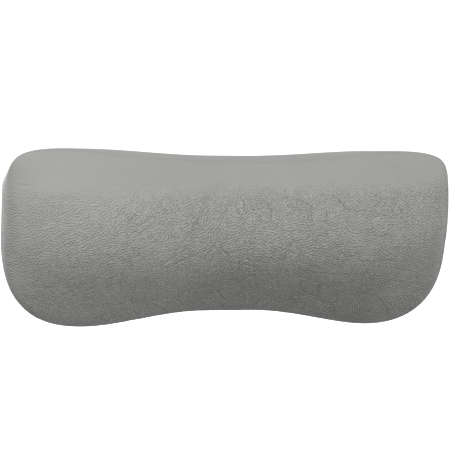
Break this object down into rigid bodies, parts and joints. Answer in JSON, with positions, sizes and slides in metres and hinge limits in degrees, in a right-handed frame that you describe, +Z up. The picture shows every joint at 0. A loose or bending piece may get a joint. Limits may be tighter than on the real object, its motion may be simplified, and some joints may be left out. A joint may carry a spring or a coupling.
{
  "type": "chair headrest attachment",
  "caption": "Contoured moulded headrest pad on a tilting friction hinge, carried by a block that slides in a short rail fixed flat to a chair back; a side knob locks its height.",
  "frame": {"origin": "centre of the rail's flat rear face, which rests on the chair", "axes": "+X is right for someone facing the pad, along its width; +Y points at the back of the chair, out of the rail's rear face; +Z is up"},
  "size_m": [0.3, 0.1225, 0.1189],
  "materials": {
    "pad_skin": "satin",
    "plywood": "matte",
    "shell_plastic": "matte",
    "black_steel": "satin",
    "zinc_steel": "satin",
    "aluminium": "satin",
    "carriage_nylon": "matte",
    "acetal": "satin",
    "brass": "satin",
    "friction_fibre": "matte",
    "knob_plastic": "satin"
  },
  "bodies": {
    "mount": {"rail_channel": "aluminium", "end_stop_top": "knob_plastic", "end_stop_bottom": "knob_plastic", "end_stop_screw_top_1": "zinc_steel", "end_stop_screw_top_2": "zinc_steel", "end_stop_screw_bottom_1": "zinc_steel", "end_stop_screw_bottom_2": "zinc_steel"},
    "carriage": {"carriage_block": "carriage_nylon", "glide_left": "acetal", "glide_right": "acetal", "clamp_insert": "brass", "pivot_bolt": "zinc_steel", "pivot_nut": "zinc_steel", "pivot_washer_left": "zinc_steel", "pivot_washer_right": "zinc_steel", "disc_spring_inner": "black_steel", "disc_spring_outer": "black_steel", "friction_disc_left": "friction_fibre", "friction_disc_right": "friction_fibre"},
    "clamp_tip": {"pressure_pad": "acetal"},
    "clamp_screw": {"clamp_knob": "knob_plastic", "clamp_stud": "zinc_steel"},
    "pad": {"pad_cushion": "pad_skin", "back_shell": "shell_plastic", "insert_board": "plywood", "hinge_bracket": "black_steel", "spacer_sleeve": "zinc_steel", "pivot_bush_left": "acetal", "pivot_bush_right": "acetal", "bracket_bolt_1": "zinc_steel", "bracket_bolt_2": "zinc_steel", "bracket_bolt_3": "zinc_steel", "bracket_bolt_4": "zinc_steel", "tee_nut_1": "zinc_steel", "tee_nut_2": "zinc_steel", "tee_nut_3": "zinc_steel", "tee_nut_4": "zinc_steel", "shell_screw_1": "black_steel", "shell_screw_2": "black_steel", "shell_screw_3": "black_steel", "shell_screw_4": "black_steel"}
  },
  "joints": [
    {"name": "height_slide", "type": "slide", "parent": "mount", "child": "carriage", "axis": [0, 0, 1], "range_m": [-0.02, 0.02]},
    {"name": "tilt", "type": "hinge", "parent": "carriage", "child": "pad", "pos_m": [0, -0.04, 0.006], "axis": [1, 0, 0], "range_deg": [-20, 30]},
    {"name": "clamp_feed", "type": "slide", "parent": "carriage", "child": "clamp_tip", "axis": [1, 0, 0], "range_m": [0, 0.00075]},
    {"name": "clamp_turn", "type": "hinge", "parent": "clamp_tip", "child": "clamp_screw", "pos_m": [0.044, -0.013, 0], "axis": [1, 0, 0], "range_deg": [0, 270]}
  ],
  "couplings": [
    {"joint": "clamp_feed", "follows": "clamp_turn", "m_per_rad": 0.00015915}
  ]
}
